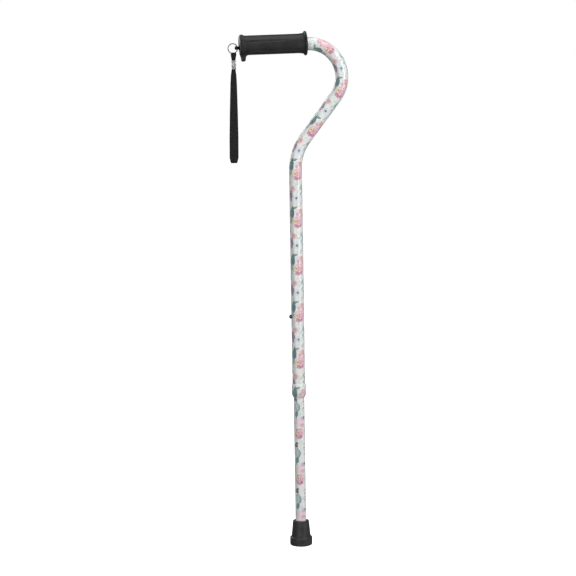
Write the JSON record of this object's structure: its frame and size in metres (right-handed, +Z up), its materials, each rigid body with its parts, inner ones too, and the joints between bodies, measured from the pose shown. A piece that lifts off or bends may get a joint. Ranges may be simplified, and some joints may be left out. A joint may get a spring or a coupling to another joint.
{
  "type": "single point cane",
  "caption": "Height-adjustable walking cane with offset swan-neck handle, rubber grip, wrist strap, snap button, lock ring and rubber tip.",
  "frame": {"origin": "centre of the rubber tip's base, on the shaft's axis", "axes": "+Z up along the shaft, the grip's free end towards -X, the swan neck bulging towards +X, Y across the handle"},
  "size_m": [0.206, 0.0398, 0.8893],
  "materials": {
    "printed_tube": "glossy printed film",
    "printed_ring": "glossy printed film",
    "grip_rubber": "matt moulded",
    "tip_rubber": "matt moulded",
    "black_plastic": "satin",
    "ring_steel": "bright nickel",
    "crimp_metal": "bright nickel",
    "black_webbing": "woven nylon",
    "button_steel": "dark steel",
    "spring_steel": "plain",
    "collet_nylon": "natural"
  },
  "bodies": {
    "cane_bottom": {"lower_tube": "printed_tube", "leaf_spring": "spring_steel", "rubber_tip": "tip_rubber", "tip_washer": "spring_steel"},
    "cane_top": {"upper_tube": "printed_tube", "hand_grip": "grip_rubber", "handle_end_plug": "black_plastic", "strap_eye": "black_plastic"},
    "button": {"snap_button": "button_steel"},
    "collet": {"lock_collet": "collet_nylon"},
    "locking_ring": {"lock_ring": "printed_ring"},
    "key_ring": {"split_ring": "ring_steel"},
    "strap": {"wrist_strap": "black_webbing", "strap_crimp": "crimp_metal"}
  },
  "joints": [
    {"name": "height_adjust", "type": "slide", "parent": "cane_bottom", "child": "cane_top", "axis": [0, 0, 1], "range_m": [-0.127, 0.1016], "deforming": ["snap_button"]},
    {"name": "button_press", "type": "slide", "parent": "cane_bottom", "child": "button", "axis": [1, 0, 0], "range_m": [0, 0.0052], "stiffness_N_per_m": 2000, "springref_m": -0.004, "deforming": ["leaf_spring"]},
    {"name": "lock_ring_travel", "type": "slide", "parent": "cane_top", "child": "collet", "axis": [0, 0, 1], "range_m": [-0.0035, 0]},
    {"name": "lock_ring_turn", "type": "hinge", "parent": "collet", "child": "locking_ring", "pos_m": [0, 0, 0.273], "axis": [0, 0, 1], "range_deg": [-540, 0]},
    {"name": "ring_swing", "type": "hinge", "parent": "cane_top", "child": "key_ring", "pos_m": [-0.09593, 0, 0.86292], "axis": [0, 0, 1], "range_deg": [-80, 80]},
    {"name": "strap_swing", "type": "hinge", "parent": "key_ring", "child": "strap", "pos_m": [-0.1039, 0, 0.8621], "axis": [0, 1, 0], "range_deg": [-8, 95]}
  ],
  "couplings": [
    {"joint": "lock_ring_travel", "follows": "lock_ring_turn", "m_per_rad": 0.00031831}
  ]
}
